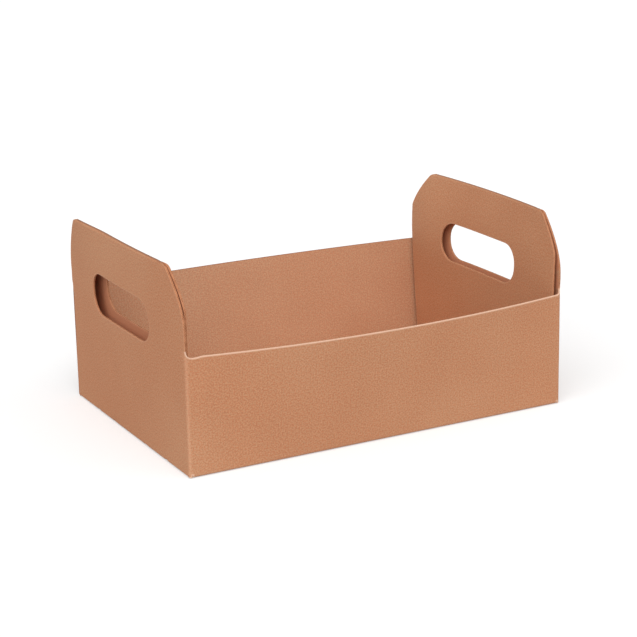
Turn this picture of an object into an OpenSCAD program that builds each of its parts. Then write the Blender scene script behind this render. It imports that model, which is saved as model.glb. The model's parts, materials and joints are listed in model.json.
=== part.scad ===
// Handled tray, die-cut from one sheet of micro-flute board and folded. Millimetres, +Z up.
// It stands on its base at z = 0, with its length along X, its width along Y and its origin below its middle.

/* [Tray] */
// Outside length of the base
tray_length = 320; // [220:1:440]
// Outside width of the base
tray_width = 204; // [160:1:300]
// Height of the long walls beside their corner fillets
wall_height = 89; // [50:1:98]
// Thickness of the board
board = 1.5; // [1:0.1:3]
// Inside radius of the vertical corner folds
fold_radius = 0.6; // [0.3:0.1:3]
// Rounding of the folds along the bottom edges
foot_radius = 1.1; // [0.3:0.1:2]

/* [Long walls] */
// How far the top edge dips from its ends to its middle
wall_dip = 1.5; // [0:0.5:25]
// How far the top edge springs outwards at mid-length
wall_bow = 11.5; // [0:0.5:20]
// Radius of the die-cut fillet where a long wall meets an end panel
corner_fillet = 4; // [1:0.5:6]
// Depth of the shallow dip in the top edge at the foot of a corner fillet
corner_dip = 1.2; // [0:0.1:3]
// Length over which the top edge rises out of that dip
dip_length = 9; // [4:0.5:20]

/* [End panels] */
// Height of the fold along the top of an end panel
end_height = 150; // [142:1:200]
// How far below the top fold the sloped shoulders start
shoulder_drop = 31; // [20:1:33]
// Slope of the shoulders, from upright
shoulder_angle = 32; // [10:1:45]
// Radius between a shoulder and the top fold
shoulder_radius = 19.5; // [6:0.5:24]
// How far the cut side edges stand in from the faces of the long walls
edge_inset = 0.6; // [0:0.1:3]
// How far the left end's side edges lean outwards at its top, or inwards if below zero
left_flare = 2.5; // [-8:0.5:10]
// How far the right end's side edges lean outwards at its top, or inwards if below zero
right_flare = -5; // [-8:0.5:10]
// How much further out the middle of the left end's top stands than its side edges
left_bulge = 4.5; // [0:0.5:10]
// How much further out the middle of the right end's top stands than its side edges
right_bulge = 6.5; // [0:0.5:10]

/* [Inner end panels] */
// Clear gap between the two layers just below the top fold
fold_gap = 0.6; // [0.4:0.1:3]
// How far the middle of the left inner panel bellies away from the outer one
left_belly = 7.5; // [0:0.5:15]
// How far the middle of the right inner panel bellies away from the outer one
right_belly = 6; // [0:0.5:15]
// How far the side edges of the left inner panel belly away
left_side_belly = 0; // [0:0.5:10]
// How far the side edges of the right inner panel belly away
right_side_belly = 1.5; // [0:0.5:10]
// How far the lower edge of an inner panel stands off, beyond the fold gap
foot_gap = 1; // [0.8:0.1:4]
// Clear gap between an inner panel's side edges and the glue lap or long wall beside them
side_clearance = 0.5; // [0.3:0.1:3]
// Clear gap between an inner panel's lower edge and the base flaps
floor_clearance = 0.3; // [0.2:0.1:2]

/* [Hand slots] */
// Length of a hand slot
slot_length = 100; // [60:1:120]
// Height of a hand slot
slot_height = 33.5; // [20:0.5:40]
// Radius of a hand slot's corners
slot_radius = 15; // [3:0.5:18]
// Height of a hand slot's centre above the table
slot_centre = 99.5; // [80:0.5:112]

/* [Base flaps] */
// How far the short flaps reach in from the ends
short_flap = 72; // [40:1:100]
// How much a short flap narrows on each side towards its free edge
short_flap_taper = 14; // [0:1:40]
// How far the long flaps stand back from the ends
flap_bevel = 30; // [10:1:60]
// How far the hooked half of a long flap reaches past the middle
hook_reach = 14; // [5:1:40]
// Half the length of the slanted step between the hooked halves
hook_run = 9; // [2:1:30]
// Width of the open joints between edges of the sheet
joint_gap = 0.6; // [0.3:0.1:2]
// Run over which a short flap steps up onto the long flaps
step_run = 7; // [4:0.5:15]

/* [Lock tabs and glue lap] */
// Length of a lock tab
tab_length = 30; // [15:1:45]
// Distance between the centres of the two lock tabs of an end
tab_spacing = 90; // [60:1:110]
// Clearance round a lock tab in its slot
tab_clearance = 0.4; // [0.2:0.1:1]
// Width of the glue lap
lap_width = 30; // [15:1:50]
// How far the glue lap stops below the wall's top edge
lap_drop = 5; // [2:1:15]

/* [Hidden] */

kraft = [0.74, 0.53, 0.40];
wall_steps = 28;
across_steps = 8;
fillet_steps = 4;
dip_steps = 4;
corner_steps = 5;
foot_steps = 4;
shoulder_steps = 8;
fold_steps = 8;
belly_steps = 15;
lap_steps = 6;
// How the belly of an inner panel is placed: above 1 moves it up towards the hand slot
belly_rise = 1.4;
// How flat the belly is across the middle of an inner panel
belly_flatness = 4;
through = 10;

half_length = tray_length / 2;
half_width = tray_width / 2;
corner_radius = fold_radius + board;
corner_x = half_length - corner_radius;
corner_y = half_width - corner_radius;
foot_round = min(foot_radius, board - 0.3);
// How far the base flaps run into the walls that carry them
tuck = (board - foot_round) / 2;
wall_top = wall_height + corner_fillet;

fold_outer = board + fold_gap / 2;
fold_z = end_height - fold_outer;
shoulder_start = end_height - shoulder_drop;
shoulder_z = end_height - shoulder_radius;
panel_half = half_width - edge_inset;
shoulder_y = panel_half - tan(shoulder_angle) * (shoulder_z - shoulder_start) - shoulder_radius / cos(shoulder_angle);
shoulder_end = shoulder_z + shoulder_radius * sin(shoulder_angle);
inner_half = half_width - 2 * board - side_clearance;
inner_start = shoulder_start + (panel_half - inner_half) / tan(shoulder_angle);
inner_foot = 2 * board + floor_clearance;
tab_near = board + fold_gap + foot_gap;

// The body is drawn upright and then moved so that its box stands over the origin
centre_shift = (max(left_flare + left_bulge, 0) - max(right_flare + right_bulge, 0)) / 2;

function mix(a, b, t) = a + (b - a) * t;
function flare(x, y) = let (middle = 1 - pow(y / half_width, 2))
    mix(-left_flare - left_bulge * middle, right_flare + right_bulge * middle, x / tray_length + 0.5);
function bow(x) = wall_bow * max(0, 1 - pow(x / half_length, 2));

// Moves a point of the upright tray to where it lies once the long walls spring out and the ends lean and bulge
function sprung(p) = [
    p.x + flare(p.x, p.y) * p.z / end_height,
    p.y * (1 + bow(p.x) / half_width * min(p.z / wall_height, 1)),
    p.z
];

// Faces round a tube of rings, which is closed on itself or has a flat cap at each end
function tube_faces(rings, sides, closed) = concat(
    [
        for (i = [0 : rings - (closed ? 1 : 2)], k = [0 : sides - 1])
            let (j = (i + 1) % rings, l = (k + 1) % sides)
            each [
                [i * sides + k, i * sides + l, j * sides + l],
                [i * sides + k, j * sides + l, j * sides + k]
            ]
    ],
    closed ? [] : [
        for (k = [0 : sides / 2 - 2], last = [false, true])
            let (face = [k, k + 1, sides - 2 - k, sides - 1 - k])
            last ? [for (i = face) (rings - 1) * sides + i] : [for (i = [3 : -1 : 0]) face[i]]
    ]
);

module tube(rings, closed = false) {
    sides = len(rings[0]);
    polyhedron(
        points = [for (ring = rings) for (p = ring) sprung(p)],
        faces = tube_faces(len(rings), sides, closed)
    );
}

// A block between two corners, in steps along X so that it follows a sprung wall
module sprung_block(low, high, steps = 1) {
    tube([
        for (i = [0 : steps]) let (x = mix(low.x, high.x, i / steps)) [
            [x, high.y, low.z],
            [x, low.y, low.z],
            [x, low.y, high.z],
            [x, high.y, high.z]
        ]
    ]);
}

// Top edge of a long wall: hollow along its length, and at each end a dip and a fillet up to the end panel's cut edge
fillet_x = corner_x - corner_fillet;
dip_x = fillet_x - dip_length;
function top_edge(x) = let (past = abs(x) - fillet_x, dipped = min(1, -past / dip_length)) past <= 0
    ? wall_height - wall_dip * (1 - pow(x / fillet_x, 2)) - corner_dip * (1 + cos(180 * dipped)) / 2
    : wall_top - (corner_fillet + corner_dip) * sqrt(max(0, 1 - pow(past / corner_fillet, 2)));

// Stations along a long wall, from its left corner to its right one
wall_stations = concat(
    [for (i = [0 : fillet_steps - 1]) -fillet_x - corner_fillet * cos(90 * i / fillet_steps)],
    [for (i = [0 : dip_steps - 1]) mix(-fillet_x, -dip_x, i / dip_steps)],
    [for (i = [0 : wall_steps]) mix(-dip_x, dip_x, i / wall_steps)],
    [for (i = [1 : dip_steps]) mix(dip_x, fillet_x, i / dip_steps)],
    [for (i = [1 : fillet_steps]) fillet_x + corner_fillet * sin(90 * i / fillet_steps)]
);

// One section through the belt of walls: origin is the fold's centre, direction points outwards
function belt_section(origin, direction, top) = [
    for (q = concat(
        [[board, 0]],
        [for (i = [0 : foot_steps]) let (a = 90 * i / foot_steps) foot_round * [1 - sin(a), 1 - cos(a)]],
        [[0, top], [board, top]]
    ))
        let (p = origin + direction * (corner_radius - q.x))
        [p.x, p.y, q.y]
];

function corner_sections(x, y, start) = [
    for (i = [1 : corner_steps]) let (a = start + 90 * i / corner_steps)
        belt_section([x, y], [cos(a), sin(a)], wall_top)
];

function wall_sections(side) = [
    for (x = wall_stations)
        belt_section([-side * x, side * corner_y], [0, side], top_edge(x))
];

// Sections along an end, from the corner before it to the one after it
function end_sections(end) = [
    for (i = [1 : across_steps])
        belt_section([end * corner_x, end * mix(-corner_y, corner_y, i / across_steps)], [end, 0], wall_top)
];

// The last section of each corner that leads into a long wall is that wall's own first section
function drop_last(list) = [for (i = [0 : len(list) - 2]) list[i]];

// The four walls as one belt, up to where the end panels stand clear of the long walls
module wall_belt() {
    tube(concat(
        wall_sections(-1),
        corner_sections(corner_x, -corner_y, -90),
        end_sections(1),
        drop_last(corner_sections(corner_x, corner_y, 0)),
        wall_sections(1),
        corner_sections(-corner_x, corner_y, 90),
        end_sections(-1),
        drop_last(corner_sections(-corner_x, -corner_y, 180))
    ), closed = true);
}

// Half the width of an end panel at a height, with its sloped and rounded shoulder
function panel_width(z) = z <= shoulder_start
    ? panel_half
    : z <= shoulder_end
        ? panel_half - tan(shoulder_angle) * (z - shoulder_start)
        : shoulder_y + sqrt(max(0, pow(shoulder_radius, 2) - pow(z - shoulder_z, 2)));

// Heights along the rounded part of a shoulder, from its lower end to the start of the top fold
fold_angle = asin((fold_z - shoulder_z) / shoulder_radius);
shoulder_levels = [
    for (i = [0 : shoulder_steps])
        shoulder_z + shoulder_radius * sin(mix(shoulder_angle, fold_angle, i / shoulder_steps))
];
outer_levels = concat([wall_top, shoulder_start], shoulder_levels);
inner_levels = concat(
    [for (i = [shoulder_steps - 1 : -1 : 0]) shoulder_levels[i]],
    [for (i = [belly_steps : -1 : 0]) mix(inner_foot, inner_start, i / belly_steps)]
);

// How far up an inner panel a height is, from 0 at its foot to 1 at the top fold
function risen(z) = max(0, (z - inner_foot) / (fold_z - inner_foot));
// Share of the belly at a height
function swell(z) = sin(180 * pow(risen(z), belly_rise));

// Places across an end as shares of its half width; all but the outermost are those of the belt below
across = concat([-1], [for (i = [0 : across_steps]) mix(-1, 1, i / across_steps) * corner_y / panel_half], [1]);
last_across = len(across) - 1;

// One section across an end's strip: depths of its outward and its first-hidden face, their heights, its half width,
// and how much deeper its middle lies than its edges
function strip_section(end, depth, height, width, billow = 0) = [
    for (face = [0, 1], i = [0 : last_across])
        let (u = across[face == 0 ? last_across - i : i])
        [
            end * (half_length - depth[face] - billow * (1 - pow(u, belly_flatness))),
            end * u * width,
            height[face]
        ]
];

// An end's strip of board: up the outer panel, over the top fold and down the inner panel
module end_strip(end, belly, side_belly) {
    outer = [for (z = outer_levels) strip_section(end, [0, board], [z, z], panel_width(z))];
    fold = [
        for (i = [1 : fold_steps])
            let (a = 180 * i / fold_steps, inside = fold_gap / 2, z = fold_z + fold_outer * sin(a))
            strip_section(
                end,
                [fold_outer * (1 - cos(a)), fold_outer - inside * cos(a)],
                [z, fold_z + inside * sin(a)],
                panel_width(z)
            )
    ];
    inner = [
        for (z = inner_levels)
            let (depth = board + fold_gap + foot_gap * (1 - risen(z)) + side_belly * swell(z))
            strip_section(
                end,
                [depth + board, depth],
                [z, z],
                min(panel_width(z), inner_half),
                (belly - side_belly) * swell(z)
            )
    ];
    tube(concat(outer, fold, inner));
}

// The two tabs below an inner panel, which lock through the base
module lock_tabs(end) {
    near = end * (half_length - tab_near);
    far = near - end * board;
    for (side = [-1, 1]) {
        y = side * tab_spacing / 2;
        sprung_block(
            [min(near, far), y - tab_length / 2, floor_clearance],
            [max(near, far), y + tab_length / 2, inner_foot]
        );
    }
}

module tab_slots() {
    for (end = [-1, 1], side = [-1, 1])
        translate([end * (half_length - tab_near - board / 2), side * tab_spacing / 2, board])
            cube([board + 2 * tab_clearance, tab_length + 2 * tab_clearance, 2 * through], center = true);
}

// A long flap of the base: it hooks past the middle on its right half, and its ends clear the short flaps' folds
module long_flap() {
    edge_y = half_width - board + tuck;
    near_x = half_length - board - flap_bevel;
    far_x = corner_x - joint_gap;
    bevel_y = corner_y - flap_bevel;
    linear_extrude(board)
        polygon([
            [-far_x, -edge_y],
            [far_x, -edge_y],
            [near_x, -bevel_y],
            [near_x, hook_reach - joint_gap / 2],
            [hook_run, hook_reach - joint_gap / 2],
            [-hook_run, -hook_reach - joint_gap / 2],
            [-near_x, -hook_reach - joint_gap / 2],
            [-near_x, -bevel_y]
        ]);
}

// A short flap at the right end: it steps up from its fold and lies on the long flaps
module short_flap_right() {
    fold_x = half_length - board + tuck;
    step_x = half_length - board - foot_gap;
    free_x = half_length - board - short_flap;
    wide = half_width - board - joint_gap;
    narrow = wide - short_flap_taper;
    intersection() {
        rotate([90, 0, 0])
            linear_extrude(2 * wide, center = true)
                polygon([
                    [fold_x, 0],
                    [step_x, 0],
                    [step_x - step_run, board],
                    [free_x, board],
                    [free_x, 2 * board],
                    [step_x - step_run, 2 * board],
                    [step_x, board],
                    [fold_x, board]
                ]);
        translate([0, 0, -through])
            linear_extrude(2 * through)
                polygon([
                    [half_length, -corner_y],
                    [step_x - step_run, -wide],
                    [free_x, -narrow],
                    [free_x, narrow],
                    [step_x - step_run, wide],
                    [half_length, corner_y]
                ]);
    }
}

module base_flaps() {
    difference() {
        union() {
            long_flap();
            rotate([0, 0, 180]) long_flap();
            short_flap_right();
            mirror([1, 0, 0]) short_flap_right();
        }
        tab_slots();
    }
}

// The lap that closes the belt, glued inside the back wall at its left corner
module glue_lap() {
    sprung_block(
        [-half_length + board / 2, half_width - 2 * board, board / 2],
        [-half_length + board + lap_width, half_width - board / 2, wall_height - wall_dip - lap_drop],
        lap_steps
    );
}

// The open joint over the glue lap, where the back wall's cut edge meets the corner fold
module lap_joint() {
    translate([-corner_x, half_width - board + joint_gap / 2, -through])
        cube([joint_gap, through, wall_top + 2 * through]);
}

// A hand slot cut through both layers of an end
module hand_slot(end) {
    layers = 2 * board + fold_gap + foot_gap + max(left_belly, right_belly);
    lean = max(abs(left_flare), abs(right_flare)) + max(left_bulge, right_bulge);
    reach = 2 * (layers + lean);
    translate([end * half_length, 0, slot_centre])
        rotate([90, 0, 90])
            linear_extrude(2 * reach, center = true)
                rounded_slot(slot_length, slot_height, min(slot_radius, slot_height / 2 - 0.1));
}

module rounded_slot(length, height, radius) {
    square([length - 2 * radius, height], center = true);
    square([length, height - 2 * radius], center = true);
    for (x = [-1, 1], y = [-1, 1])
        translate([x * (length / 2 - radius), y * (height / 2 - radius)])
            circle(radius, $fn = 72);
}

module folded_tray() {
    color(kraft)
        translate([centre_shift, 0, 0])
            difference() {
                union() {
                    wall_belt();
                    end_strip(-1, left_belly, left_side_belly);
                    end_strip(1, right_belly, right_side_belly);
                    base_flaps();
                    glue_lap();
                    lock_tabs(-1);
                    lock_tabs(1);
                }
                hand_slot(-1);
                hand_slot(1);
                lap_joint();
            }
}

folded_tray();
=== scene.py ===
"""Kraft board tray: one die-cut sheet of board, folded, locked at its ends and sprung out of true."""

import json
import math

import bpy
import numpy as np
from bpy.props import FloatProperty, FloatVectorProperty, IntProperty, PointerProperty
from mathutils import Matrix, Vector
from mathutils.geometry import delaunay_2d_cdt


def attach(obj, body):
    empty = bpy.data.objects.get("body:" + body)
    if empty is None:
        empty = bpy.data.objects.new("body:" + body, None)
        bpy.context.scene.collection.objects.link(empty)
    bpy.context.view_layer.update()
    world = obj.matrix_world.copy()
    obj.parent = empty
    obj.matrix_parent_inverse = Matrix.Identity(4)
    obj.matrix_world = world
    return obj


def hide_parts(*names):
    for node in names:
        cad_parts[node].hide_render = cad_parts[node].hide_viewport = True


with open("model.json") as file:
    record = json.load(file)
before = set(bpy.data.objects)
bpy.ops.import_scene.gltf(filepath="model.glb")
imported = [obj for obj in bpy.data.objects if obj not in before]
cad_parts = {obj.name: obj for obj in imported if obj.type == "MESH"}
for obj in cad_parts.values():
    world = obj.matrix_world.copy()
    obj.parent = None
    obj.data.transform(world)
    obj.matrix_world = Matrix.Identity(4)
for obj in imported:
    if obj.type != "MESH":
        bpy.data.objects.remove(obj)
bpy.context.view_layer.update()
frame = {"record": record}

bl_info = {
    "name": "Folded board tray",
    "version": (1, 0, 0),
    "blender": (4, 5, 0),
    "location": "View3D > Sidebar > Board tray",
    "description": "Cuts, folds and springs a handled tray from one sheet of kraft board",
    "category": "Mesh",
}

SLOT = "kraft_board"
KRAFT = next(m["base_color"] for m in frame["record"]["materials"] if m["slot"] == SLOT)
UP = np.array([0.0, 0.0, 1.0])
QUARTER = math.pi / 2
# Headings of the belt of walls along the left and right ends, seen from above
LEFT_TURN, RIGHT_TURN = 1.5 * math.pi, 2.5 * math.pi

# Distance beside a fold of the points that keep the board flat there, and the least between two points
GUARD, NEAREST = 0.0004, 0.0005
# How far the sheet's inner side is moved along the UV map, away from its outer side
INNER_SHIFT = 2.0
# Gaps at the glue, under the inner panels, beside a base flap and between the layers of the base
GLUE_GAP, BASE_GAP, SLIT, FLAP_GAP = 0.0001, 0.0003, 0.0006, 0.00005
# Height of the cut edge that runs under a corner fold, beside the base flaps
CORNER_FOOT = 0.00015
# Heights over which an end's side strips come to lie flat, above a long wall and above the glue lap
WALL_RELEASE, LAP_RELEASE = 0.009, 0.006
# Half the width of a pale crease, rubbed pale and given a painted highlight, as a share of its fold's arc
CREASE_SPREAD = 0.7

# Linear colours that multiply the paper's: the two ends of its coloured grain and of its slow drift
GRAIN_TINTS = ((0.965, 0.825, 0.76, 1), (1.025, 1.125, 1.13, 1))
DRIFT_TINTS = ((0.965, 0.92, 0.885, 1), (1.03, 1.07, 1.08, 1))
# Waves per metre along and up the sheet, and a third place in the noise that keeps the patterns apart
LYING_FIBRES, STANDING_FIBRES, STREAKS = (260, 1900, 0.0), (1900, 240, 7.0), (620, 9, 3.0)
# Between which values the noise turns into a fibre
LYING_LIMITS, STANDING_LIMITS = (0.60, 0.76), (0.62, 0.78)
# A fleck: its solid core, the least reach of its edge, how much that varies, and which cells have one
FLECK_CORE, FLECK_REACH, FLECK_SPREAD, FLECK_PICK = 0.012, 0.03, 0.02, (0.86, 0.88)
# Cut edge, in shares of the board's thickness: the fluting's wave, and where its paper and the liners end
WAVE_HEIGHT, WAVE_PAPER, LINER_PAPER = 0.27, (0.08, 0.17), (0.33, 0.40)

# Where the warp of a back corner starts and is full, as shares of half the width
BACK_CORNER = (0.2, 0.85)
# Share of the end's height at which the curl starts
CURL_START = 0.66
# Heights at which the tuck and the unevenness reach their full size
TUCK_HEIGHT, LOOSE_HEIGHT = 0.1, 0.03
# Scale of the unevenness, in waves per metre
LOOSE_SCALE = 11.0


def number(name, description, default, low=0.0):
    return FloatProperty(name=name, description=description, default=default, min=low)


def size(name, description, default, low=0.0):
    return FloatProperty(name=name, description=description, default=default, min=low, unit="LENGTH",
                         precision=5)


def angle(name, description, degrees):
    return FloatProperty(name=name, description=description, default=math.radians(degrees),
                         subtype="ANGLE")


def colour(name, description, default):
    return FloatVectorProperty(name=name, description=description, default=default, min=0, max=1,
                               subtype="COLOR_GAMMA")


class TrayWalls(bpy.types.PropertyGroup):
    """Long walls, and the belt that the four walls make"""
    tray_length: size("Length", "Outside length of the base", 0.320)
    tray_width: size("Width", "Outside width of the base", 0.204)
    wall_height: size("Wall height", "Height of the long walls beside their corner fillets", 0.089)
    wall_dip: size("Dip", "How far a long wall's top edge dips towards its middle", 0.0015)
    wall_bow: size("Bow", "How far a long wall's top edge springs outwards at mid-length", 0.0115)
    corner_fillet: size("Corner fillet", "Die-cut fillet where a long wall meets an end", 0.004)
    corner_dip: size("Corner dip", "Dip of the front wall's top edge beside its left fillet", 0.0012)
    dip_length: size("Dip length", "Length over which the corner dip runs out", 0.009)
    corner_radius: size("Corner radius", "Outside radius of the upright corner folds", 0.0021)
    foot_radius: size("Foot radius", "Outside radius of the folds along the base", 0.0017)


class TrayEnds(bpy.types.PropertyGroup):
    """End panels, and the inner panels that roll over their top folds"""
    end_height: size("End height", "Height of the fold along the top of an end", 0.150)
    shoulder_start: size("Shoulder start", "Height at which the curved shoulders start", 0.107)
    shoulder_angle: angle("Shoulder angle", "Slope from upright at a shoulder's upper end", 45)
    shoulder_curve: number("Shoulder curve", "How gently a shoulder starts to bend in", 1.8, 1)
    shoulder_radius: size("Shoulder radius", "Radius between a shoulder and the top fold", 0.009)
    edge_inset: size("Edge inset", "How far an end's cut edges stand in from the long walls", 0.0006)
    left_lean: size("Left lean", "Outward lean of the left end's sides at its top", 0.0025, -0.01)
    right_lean: size("Right lean", "Outward lean of the right end's sides at its top", -0.005, -0.01)
    left_bulge: size("Left bulge", "Further lean in the middle of the left end's top", 0.0045)
    right_bulge: size("Right bulge", "Further lean in the middle of the right end's top", 0.0065)
    left_curl: size("Left curl", "Outward curl of the left end's back upper corner", 0.0042)
    right_curl: size("Right curl", "Outward curl of the right end's back upper corner", 0.0022)
    right_tuck: size("Right tuck", "How far the right end's back edge is drawn in below it", 0.0025)
    fold_gap: size("Fold gap", "Gap between the two layers below the top fold", 0.0006)
    left_belly: size("Left belly", "Inward belly of the left inner panel's middle", 0.0075)
    right_belly: size("Right belly", "Inward belly of the right inner panel's middle", 0.006)
    left_side_belly: size("Left side belly", "Inward belly of the left inner panel's sides", 0.0)
    right_side_belly: size("Right side belly", "Inward belly of the right inner panel's sides", 0.0015)
    belly_flatness: number("Belly flatness", "How flat the belly is across", 4, 1)
    belly_rise: number("Belly rise", "Above 1 moves the belly up", 1.4, 0.5)
    foot_gap: size("Foot gap", "Further gap between the two layers at an inner panel's foot", 0.001)
    side_gap: size("Side gap", "Gap beside an inner panel", 0.0005)
    foot_taper: size("Foot taper", "How much an inner panel narrows on each side down to its foot", 0.002)


class TrayCuts(bpy.types.PropertyGroup):
    """Hand slots, lock tabs, base flaps and glue lap"""
    slot_length: size("Slot length", "Length of a hand slot", 0.101)
    slot_height: size("Slot height", "Height of a hand slot", 0.0320)
    slot_radius: size("Slot radius", "Corner radius of a hand slot", 0.015)
    slot_centre: size("Slot centre", "Height of a hand slot's centre", 0.0988)
    slot_rise: size("Inner slot rise", "How much higher the left inner panel's slot stands", 0.002)
    slot_advance: size("Inner slot advance", "How much nearer the front that slot stands", 0.0055)
    slot_shift: size("Slot shift", "How far the slots stand behind the ends' middle", 0.0022, -0.01)
    tab_length: size("Tab length", "Length of a lock tab", 0.030)
    tab_spacing: size("Tab spacing", "Distance between the two lock tabs of an end", 0.090)
    tab_gap: size("Tab gap", "Gap round a lock tab in its slot", 0.0004)
    short_flap: size("Short flap", "How far the short base flaps reach in", 0.072)
    short_taper: size("Short flap taper", "How much a short flap narrows on each side", 0.014)
    flap_bevel: size("Flap bevel", "How far the long base flaps stand back from the ends", 0.030)
    hook_reach: size("Hook reach", "How far a long flap's hooked half passes the middle", 0.014)
    hook_run: size("Hook run", "Half the length of the slanted step between the hooked halves", 0.009)
    step_run: size("Step run", "Run over which a short flap steps up onto the long ones", 0.007)
    lap_width: size("Lap width", "Width of the glue lap", 0.030)
    lap_drop: size("Lap drop", "How far the glue lap stops below the wall's top", 0.005)


class BoardFinish(bpy.types.PropertyGroup):
    """Thickness, springiness and colours of the board, with the colours of its painted light and shade"""
    thickness: size("Thickness", "Thickness of the board", 0.0015)
    edge_round: size("Edge rounding", "Crushed rounding along the cut edges", 0.0002)
    # The pale rim is wear with a painted highlight
    rim: size("Rim", "Width of the paper that is rubbed pale along the cut edges", 0.0013)
    flute_pitch: size("Flute pitch", "Distance between the flutes under the liner", 0.0019)
    mesh_step: size("Mesh step", "Largest distance between points of the mesh", 0.006, 0.002)
    unevenness: size("Unevenness", "How far the panels wander from true", 0.0004)
    seed: IntProperty(name="Seed", description="Fixes the pattern of the unevenness", default=7)
    liner: colour("Liner", "Brown of the smooth outer paper", KRAFT)
    # Painted light: the inner side gets a paler brown so that the shaded inside of the tray comes up as
    # bright as the outside
    inside: colour("Inside", "Slightly paler paper on the sheet's inner side", (0.765, 0.58, 0.462))
    fibre: colour("Fibres", "Darker fibres and flecks in the paper", (0.50, 0.33, 0.24))
    # Pale colour of wear with a painted highlight, laid on the creases and on the front rim
    pale_wear_and_highlight: colour("Bloom", "Paper rubbed pale along the creases and the front rim", (0.91, 0.77, 0.67))
    # Painted shade: the deeper brown of the shadowed gap between the two layers of an end
    gap_shade: colour("Sheltered", "Deeper paper between the two layers of an end", (0.80, 0.51, 0.37))
    cut_edge: colour("Cut edge", "Raw paper along the cut edges", (0.75, 0.515, 0.375))
    cut_core: colour("Cut core", "Shaded hollows of the flutes in a cut edge", (0.47, 0.275, 0.165))


class PaperLook(bpy.types.PropertyGroup):
    """Patterns of the paper and its painted light and shade, with their scales in waves per metre"""
    cloud_scale: number("Cloud scale", "Scale of the clouds", 34)
    clouds: number("Clouds", "How much the clouds change the brightness", 0.07)
    drift_scale: number("Drift scale", "Scale of the slow drift in colour", 8)
    grain_scale: number("Grain scale", "Scale of the light and dark grain", 860)
    grain: number("Grain", "How much the grain changes the brightness", 0.88)
    tint_scale: number("Tint scale", "Scale of the coloured grain", 820)
    tint_contrast: number("Tint contrast", "How sharply the coloured grain parts", 8.5)
    streaks: number("Streaks", "How much the upright streaks change the brightness", 0.06)
    # Painted shade of the flutes' relief under the liner
    rib_shade: number("Ribs", "How much the flutes change the brightness", 0.012)
    fibres: number("Fibres", "How dark the fibres are", 0.14)
    fleck_scale: number("Fleck scale", "Scale of the cells that hold a fleck each", 75)
    flecks: number("Flecks", "How dark the flecks are", 0.75)
    # Creases: rubbed pale, with a painted highlight on the rounded folds
    crease_wear_and_highlight: number("Crease wear", "How much the creases are rubbed pale", 0.11)
    # Painted shade: how dark the line of shade along the top folds is
    fold_shade_strength: number("Fold dulling", "How much the top folds are dulled", 0.95)
    # Rims: rubbed pale, with a painted highlight
    rim_wear_and_light: number("Rim wear", "How much the rims are rubbed pale", 0.65)
    # Painted shade: how strongly the gap between the two layers is darkened
    gap_shade_strength: number("Shelter", "How much deeper the paper between the two layers is", 0.65)
    relief: size("Relief", "Height of the paper's relief", 0.00004)


class StageSettings(bpy.types.PropertyGroup):
    """Floor, light and camera"""
    floor: colour("Floor", "Pale floor as the camera sees it", (0.97, 0.97, 0.97))
    floor_shade: number("Floor shade", "Share of the light that the seen floor sends back", 0.70)
    floor_glow: number("Floor glow", "Even glow that brings the seen floor up to white", 0.37)
    floor_back: colour("Floor back light", "Pale floor as it lights the tray", (0.80, 0.80, 0.80))
    floor_size: size("Floor size", "Width of the floor", 6.0)
    focal: FloatProperty(name="Focal length", description="Focal length on a 36 mm frame",
                         default=100.455, unit="CAMERA")
    yaw: angle("Yaw", "Turn of the camera round the tray", 29.554)
    pitch: angle("Pitch", "Downward tilt of the camera", 16.922)
    distance: size("Distance", "Distance of the camera from the tray", 1.4007)
    right: size("Sideways", "How far the camera stands to its right", 0.00091, -1)
    up: size("Upwards", "How far the camera stands up", 0.0631, -1)
    sky: number("Sky", "Strength of the even light from all round", 0.40)
    key: number("Key light", "Strength of the wide lamp to the left of the front", 2.4)
    key_turn: angle("Key turn", "How far the key lamp stands to the left of the front", 43)
    fill: number("Fill light", "Strength of the wide lamp to the right of the front", 0.72)
    fill_turn: angle("Fill turn", "How far the fill lamp stands to the left of the front", -22)
    lamp_rise: angle("Lamp rise", "Height of both lamps over the floor", 45)
    lamp_spread: angle("Lamp spread", "Width of both lamps as the tray sees them", 70)


def linear(srgb):
    """Linear value of a colour as it is written"""
    return tuple(c / 12.92 if c <= 0.04045 else ((c + 0.055) / 1.055) ** 2.4 for c in srgb) + (1.0,)


def smooth(x):
    x = np.clip(x, 0, 1)
    return x * x * (3 - 2 * x)


def centre_shift(ends):
    """How far the sprung tray is moved along X so that its box stands over the origin"""
    return (max(ends.left_lean + ends.left_bulge, 0) - max(ends.right_lean + ends.right_bulge, 0)) / 2


class Value:
    """One output of a node; arithmetic on it adds Math nodes to its tree"""

    def __init__(self, nodes, socket):
        self.nodes = nodes
        self.socket = socket

    def __add__(self, other):
        return self.nodes.math("ADD", self, other)

    def __sub__(self, other):
        return self.nodes.math("SUBTRACT", self, other)

    def __rsub__(self, other):
        return self.nodes.math("SUBTRACT", other, self)

    def __mul__(self, other):
        return self.nodes.math("MULTIPLY", self, other)

    def __truediv__(self, other):
        return self.nodes.math("DIVIDE", self, other)

    def __abs__(self):
        return self.nodes.math("ABSOLUTE", self)

    __radd__ = __add__
    __rmul__ = __mul__

    def sine(self):
        return self.nodes.math("SINE", self)

    def above(self, limit):
        """1 above a limit and 0 below it"""
        return self.nodes.math("GREATER_THAN", self, limit)

    def at_least(self, low):
        return self.nodes.math("MAXIMUM", self, low)

    def at_most(self, high):
        return self.nodes.math("MINIMUM", self, high)

    def from_to(self, low, high):
        """0 at low and 1 at high, held outside them"""
        return self.nodes.node("ShaderNodeMapRange", {"interpolation_type": "SMOOTHSTEP"},
                               {"Value": self, "From Min": low, "From Max": high})


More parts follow.
